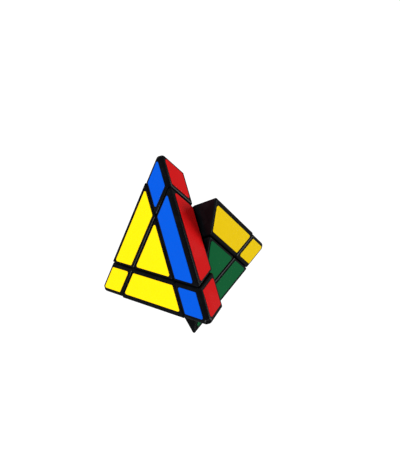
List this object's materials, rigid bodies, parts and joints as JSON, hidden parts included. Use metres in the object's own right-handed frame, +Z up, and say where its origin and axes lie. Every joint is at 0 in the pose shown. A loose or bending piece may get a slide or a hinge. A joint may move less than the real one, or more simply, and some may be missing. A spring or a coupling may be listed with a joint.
{
  "type": "pyramid twisty puzzle",
  "caption": "Pyramid-shaped twisty puzzle of black stickered blocks round a sprung screw core, with a face layer part-way through a turn about its own axis.",
  "frame": {"origin": "middle of the face that the puzzle stands on, in the plane of that face's stickers", "axes": "+Z up, from the middle of the standing face through the opposite corner, which is also the axis that the standing layer turns about; +Y points at the edge block edge_green_red, so the YZ plane cuts the upper part into two like halves"},
  "size_m": [0.0883, 0.0915, 0.0753],
  "materials": {
    "body_plastic": "black moulded plastic, satin",
    "core_plastic": "off-white moulded plastic, matt",
    "screw_steel": "zinc-plated",
    "spring_steel": "drawn wire",
    "yellow_sticker": "vinyl film, semi-gloss",
    "blue_sticker": "vinyl film, semi-gloss",
    "red_sticker": "vinyl film, semi-gloss",
    "green_sticker": "vinyl film, semi-gloss"
  },
  "bodies": {
    "turned_layer": {"centre_yellow_base": "body_plastic", "centre_yellow_cap": "body_plastic", "centre_yellow_sticker_yellow": "yellow_sticker", "corner_blue_red_green": "body_plastic", "corner_blue_red_green_sticker_blue": "blue_sticker", "corner_blue_red_green_sticker_green": "green_sticker", "corner_blue_red_green_sticker_red": "red_sticker", "corner_blue_red_yellow": "body_plastic", "corner_blue_red_yellow_sticker_blue": "blue_sticker", "corner_blue_red_yellow_sticker_red": "red_sticker", "corner_blue_red_yellow_sticker_yellow": "yellow_sticker", "corner_yellow_blue_green": "body_plastic", "corner_yellow_blue_green_sticker_blue": "blue_sticker", "corner_yellow_blue_green_sticker_green": "green_sticker", "corner_yellow_blue_green_sticker_yellow": "yellow_sticker", "edge_blue_red": "body_plastic", "edge_blue_red_sticker_blue": "blue_sticker", "edge_blue_red_sticker_red": "red_sticker", "edge_yellow_blue": "body_plastic", "edge_yellow_blue_sticker_blue": "blue_sticker", "edge_yellow_blue_sticker_yellow": "yellow_sticker", "edge_yellow_green": "body_plastic", "edge_yellow_green_sticker_green": "green_sticker", "edge_yellow_green_sticker_yellow": "yellow_sticker", "spring_under_yellow_centre": "spring_steel"},
    "upper_assembly": {"centre_blue_base": "body_plastic", "centre_blue_cap": "body_plastic", "centre_blue_sticker_blue": "blue_sticker", "centre_green_base": "body_plastic", "centre_green_cap": "body_plastic", "centre_green_sticker_green": "green_sticker", "centre_red_base": "body_plastic", "centre_red_cap": "body_plastic", "centre_red_sticker_red": "red_sticker", "core": "core_plastic", "corner_yellow_green_red": "body_plastic", "corner_yellow_green_red_sticker_green": "green_sticker", "corner_yellow_green_red_sticker_red": "red_sticker", "corner_yellow_green_red_sticker_yellow": "yellow_sticker", "edge_blue_green": "body_plastic", "edge_blue_green_sticker_blue": "blue_sticker", "edge_blue_green_sticker_green": "green_sticker", "edge_green_red": "body_plastic", "edge_green_red_sticker_green": "green_sticker", "edge_green_red_sticker_red": "red_sticker", "edge_yellow_red": "body_plastic", "edge_yellow_red_sticker_red": "red_sticker", "edge_yellow_red_sticker_yellow": "yellow_sticker", "screw_under_blue_centre": "screw_steel", "screw_under_green_centre": "screw_steel", "screw_under_red_centre": "screw_steel", "screw_under_yellow_centre": "screw_steel", "spring_under_blue_centre": "spring_steel", "spring_under_green_centre": "spring_steel", "spring_under_red_centre": "spring_steel", "washer_under_blue_centre": "screw_steel", "washer_under_green_centre": "screw_steel", "washer_under_red_centre": "screw_steel", "washer_under_yellow_centre": "screw_steel"}
  },
  "joints": [
    {"name": "face_layer_turn", "type": "hinge", "parent": "turned_layer", "child": "upper_assembly", "pos_m": [0, 0, 0], "axis": [0, 0, 1], "continuous": true}
  ]
}
